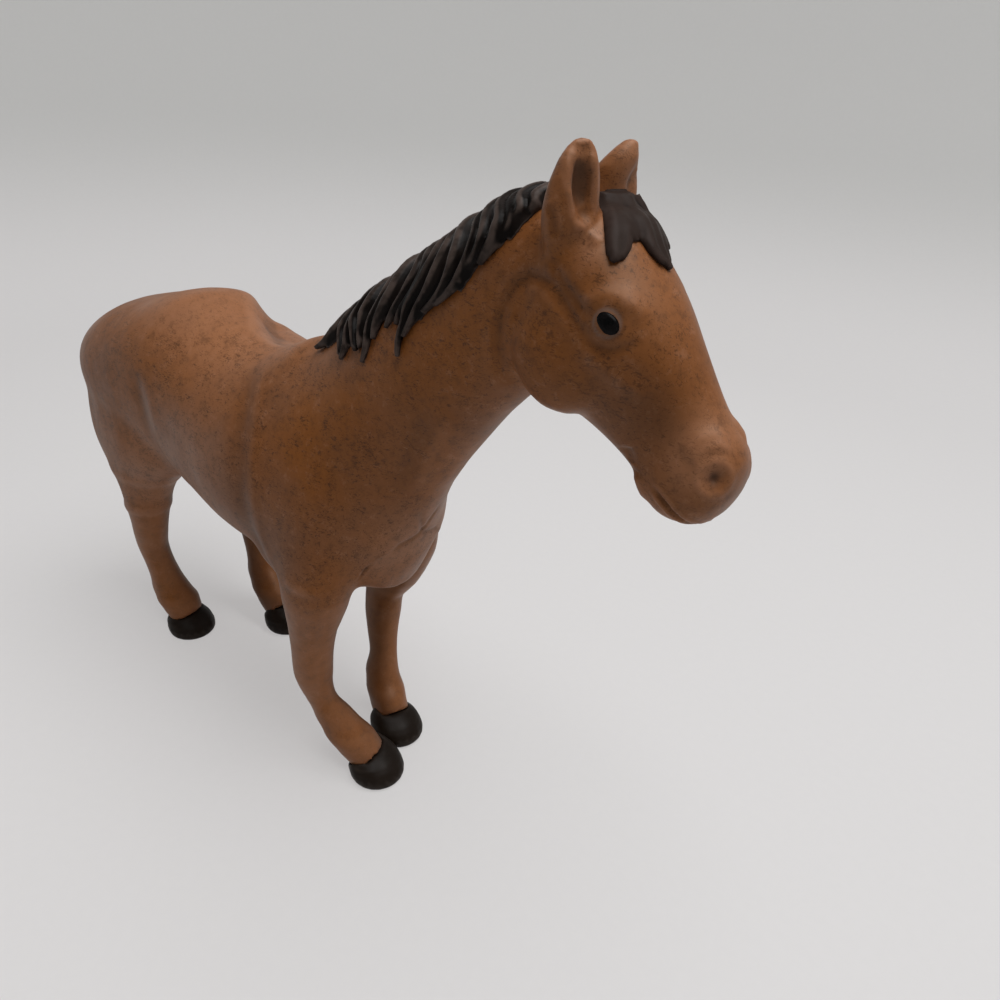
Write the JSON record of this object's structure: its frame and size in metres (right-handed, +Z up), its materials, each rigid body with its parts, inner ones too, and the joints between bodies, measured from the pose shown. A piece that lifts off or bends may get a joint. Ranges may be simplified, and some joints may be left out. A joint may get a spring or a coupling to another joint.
{
  "type": "toy horse figure",
  "caption": "Toy horse in soft hollow vinyl, standing on its hooves with the neck raised and the head forward, with a dark mane, forelock and tail and glossy bead eyes.",
  "frame": {"origin": "on the floor under the middle of the figure's bounding box, in the plane of the soles", "axes": "+X towards the horse's head, +Y towards its left side, +Z up"},
  "size_m": [0.2672, 0.0616, 0.2],
  "materials": {
    "skin": "soft brown vinyl, semi-matt, with fine dark flecks",
    "hoof": "near-black vinyl with a low sheen",
    "hair": "dark brown-black vinyl with a low sheen",
    "eye": "gloss black"
  },
  "bodies": {
    "root": {"body_skin": "skin", "fore_leg_right": "skin", "fore_leg_left": "skin", "hind_leg_right": "skin", "hind_leg_left": "skin", "fore_hoof_right": "hoof", "fore_hoof_left": "hoof", "hind_hoof_right": "hoof", "hind_hoof_left": "hoof", "eye_right": "eye", "eye_left": "eye", "mane": "hair", "forelock": "hair", "tail": "hair"}
  },
  "joints": []
}
